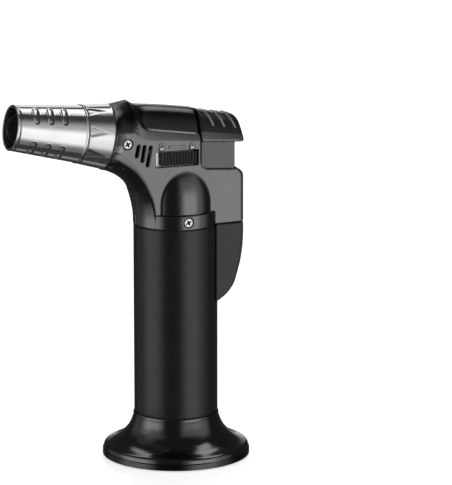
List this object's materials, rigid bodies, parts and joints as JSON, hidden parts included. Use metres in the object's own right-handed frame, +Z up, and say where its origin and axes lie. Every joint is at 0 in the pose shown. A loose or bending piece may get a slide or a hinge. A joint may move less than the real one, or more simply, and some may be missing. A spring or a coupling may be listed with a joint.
{
  "type": "butane torch",
  "caption": "Hand-held butane torch with a flared foot, a round fuel tank, a bent head, a chrome flame nozzle, a top igniter button and a lock slider.",
  "frame": {"origin": "under the middle of the torch's overall box, on the surface that the foot stands on; the tank's axis is 21.9 mm from it along +X", "axes": "+Z up along the tank, -X towards the nozzle, -Y towards the side with the lock slider"},
  "size_m": [0.1072, 0.0636, 0.1578],
  "materials": {
    "gloss_black": "gloss moulded plastic",
    "graphite": "glossy dark gunmetal coating",
    "tank_black": "matte black coated tube",
    "chrome": "polished chrome plate",
    "steel": "plated or bare steel",
    "brass": "turned brass",
    "rubber": "black rubber",
    "ceramic": "white ceramic",
    "inner_plastic": "unpainted moulded plastic"
  },
  "bodies": {
    "torch": {"foot_plate": "gloss_black", "rear_cover": "gloss_black", "housing_left": "graphite", "housing_right": "graphite", "foot_flare": "graphite", "tank_sleeve": "tank_black", "flame_tube": "chrome", "nozzle_bead_ring": "chrome", "nozzle_collar": "chrome", "foot_screw_1": "steel", "foot_screw_2": "steel", "foot_screw_3": "steel", "filler_valve_spring": "steel", "gas_valve_spring": "steel", "lever_pin": "steel", "button_spring": "steel", "lock_detent_spring": "steel", "burner_tube": "steel", "burner_plug": "steel", "nozzle_mount_ring": "steel", "electrode": "steel", "housing_screw_front_left": "steel", "housing_screw_front_right": "steel", "collar_screw_left": "steel", "collar_screw_right": "steel", "filler_valve_body": "brass", "gas_valve_body": "brass", "flame_holder": "brass", "mixing_tube": "brass", "gas_jet": "brass", "rubber_foot_ring": "rubber", "tank_cap_seal": "rubber", "filler_valve_seal": "rubber", "gas_valve_seal": "rubber", "gas_hose": "rubber", "ignition_lead": "rubber", "electrode_insulator": "ceramic", "fuel_tank": "inner_plastic", "tank_cap": "inner_plastic", "pickup_tube": "inner_plastic", "piezo_body": "inner_plastic"},
    "button": {"igniter_button": "gloss_black", "piezo_plunger": "ceramic"},
    "valve_lever": {"valve_lever": "steel"},
    "gas_valve_stem": {"gas_valve_stem": "brass"},
    "flame_dial": {"flame_dial": "inner_plastic", "regulator_sleeve": "brass"},
    "filler_stem": {"filler_valve_stem": "brass"},
    "lock": {"lock_slider": "gloss_black", "lock_carriage": "inner_plastic"}
  },
  "joints": [
    {"name": "button_press", "type": "slide", "parent": "torch", "child": "button", "axis": [0, 0, -1], "range_m": [0, 0.0062], "stiffness_N_per_m": 600, "springref_m": -0.004, "deforming": ["button_spring"]},
    {"name": "valve_lever_tilt", "type": "hinge", "parent": "torch", "child": "valve_lever", "pos_m": [0.0225, 0, 0.114], "axis": [0, 1, 0], "range_deg": [0, 30]},
    {"name": "gas_valve_lift", "type": "slide", "parent": "torch", "child": "gas_valve_stem", "axis": [0, 0, 1], "range_m": [0, 0.0024], "deforming": ["gas_valve_spring", "gas_hose"]},
    {"name": "lock_slide", "type": "slide", "parent": "torch", "child": "lock", "axis": [-1, 0, 0], "range_m": [0, 0.0018]},
    {"name": "flame_dial_turn", "type": "hinge", "parent": "torch", "child": "flame_dial", "pos_m": [0.0219, 0, 0.005], "axis": [0, 0, 1], "range_deg": [-120, 120]},
    {"name": "filler_stem_press", "type": "slide", "parent": "torch", "child": "filler_stem", "axis": [0, 0, 1], "range_m": [0, 0.0015], "stiffness_N_per_m": 800, "springref_m": -0.002, "deforming": ["filler_valve_spring"]}
  ],
  "couplings": [
    {"joint": "valve_lever_tilt", "follows": "button_press", "rad_per_m": 84.4},
    {"joint": "gas_valve_lift", "follows": "button_press", "ratio": 0.383}
  ]
}
